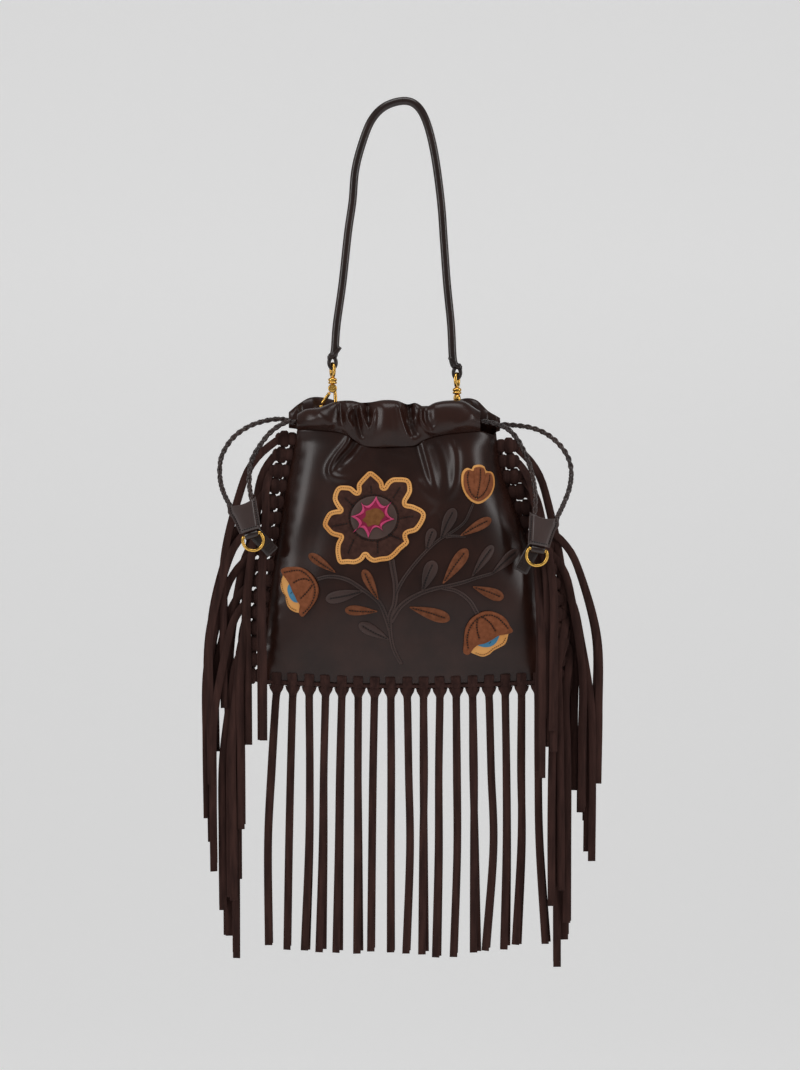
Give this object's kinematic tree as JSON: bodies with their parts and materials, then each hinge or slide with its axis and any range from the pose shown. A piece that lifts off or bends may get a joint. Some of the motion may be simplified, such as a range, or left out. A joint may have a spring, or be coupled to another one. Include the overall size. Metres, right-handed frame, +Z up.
{
  "type": "fringed drawstring bag",
  "caption": "Small leather drawstring bag hanging from a rolled strap, with a sewn flower spray and long knotted suede fringe on three sides.",
  "frame": {"origin": "underside of the strap at its highest point, where the bag hangs on a peg", "axes": "+Z up, the decorated front towards -Y, +X to the right as seen from the front"},
  "size_m": [0.3607, 0.0767, 0.7815],
  "materials": {
    "body_leather": "glossy",
    "strap_leather": "glossy",
    "cord_leather": "satin",
    "fringe_suede": "matte",
    "gold_metal": "polished",
    "tan_leather": "satin",
    "petal_leather": "satin",
    "leaf_leather": "satin",
    "stem_leather": "satin",
    "blue_leather": "satin",
    "pink_leather": "satin"
  },
  "bodies": {
    "bag": {"front_panel": "body_leather", "back_panel": "body_leather", "front_casing": "body_leather", "back_casing": "body_leather", "strap": "strap_leather", "strap_end_left": "strap_leather", "strap_end_right": "strap_leather", "clasp_eye_left": "gold_metal", "clasp_eye_right": "gold_metal", "clasp_hook_left": "gold_metal", "clasp_hook_right": "gold_metal", "anchor_ring_left": "gold_metal", "anchor_ring_right": "gold_metal", "anchor_tab_left": "body_leather", "anchor_tab_right": "body_leather", "cord_front_run": "cord_leather", "cord_back_run": "cord_leather", "cord_left_front": "cord_leather", "cord_left_back": "cord_leather", "cord_right_front": "cord_leather", "cord_right_back": "cord_leather", "cord_cap_left": "strap_leather", "cord_cap_right": "strap_leather", "ring_loop_left": "strap_leather", "ring_loop_right": "strap_leather", "d_ring_left": "gold_metal", "d_ring_right": "gold_metal", "cap_tab_left": "strap_leather", "cap_tab_right": "strap_leather", "bottom_fringe": "fringe_suede", "side_fringe_left": "fringe_suede", "side_fringe_right": "fringe_suede", "rosette_border": "tan_leather", "rosette_petals": "petal_leather", "rosette_disc": "petal_leather", "rosette_star": "pink_leather", "rosette_eye": "leaf_leather", "tulip_border": "tan_leather", "tulip_petals": "leaf_leather", "bell_cap_left": "leaf_leather", "bell_cap_right": "leaf_leather", "bell_lip_left": "tan_leather", "bell_lip_right": "tan_leather", "bell_eye_left": "blue_leather", "bell_eye_right": "blue_leather", "stem_spray": "stem_leather", "leaf_1": "leaf_leather", "leaf_2": "leaf_leather", "leaf_3": "leaf_leather", "leaf_4": "leaf_leather", "leaf_5": "leaf_leather", "leaf_6": "leaf_leather", "leaf_7": "leaf_leather"},
    "left_gate": {"clasp_gate_left": "gold_metal"},
    "right_gate": {"clasp_gate_right": "gold_metal"}
  },
  "joints": [
    {"name": "gate_left", "type": "hinge", "parent": "bag", "child": "left_gate", "pos_m": [-0.0643, 0, -0.255], "axis": [0, -1, 0], "range_deg": [0, 22], "stiffness_Nm_per_rad": 0.005, "springref_deg": -17.19},
    {"name": "gate_right", "type": "hinge", "parent": "bag", "child": "right_gate", "pos_m": [0.0477, 0, -0.264], "axis": [-0.9063, -0.4226, 0], "range_deg": [0, 22], "stiffness_Nm_per_rad": 0.005, "springref_deg": -17.19}
  ]
}
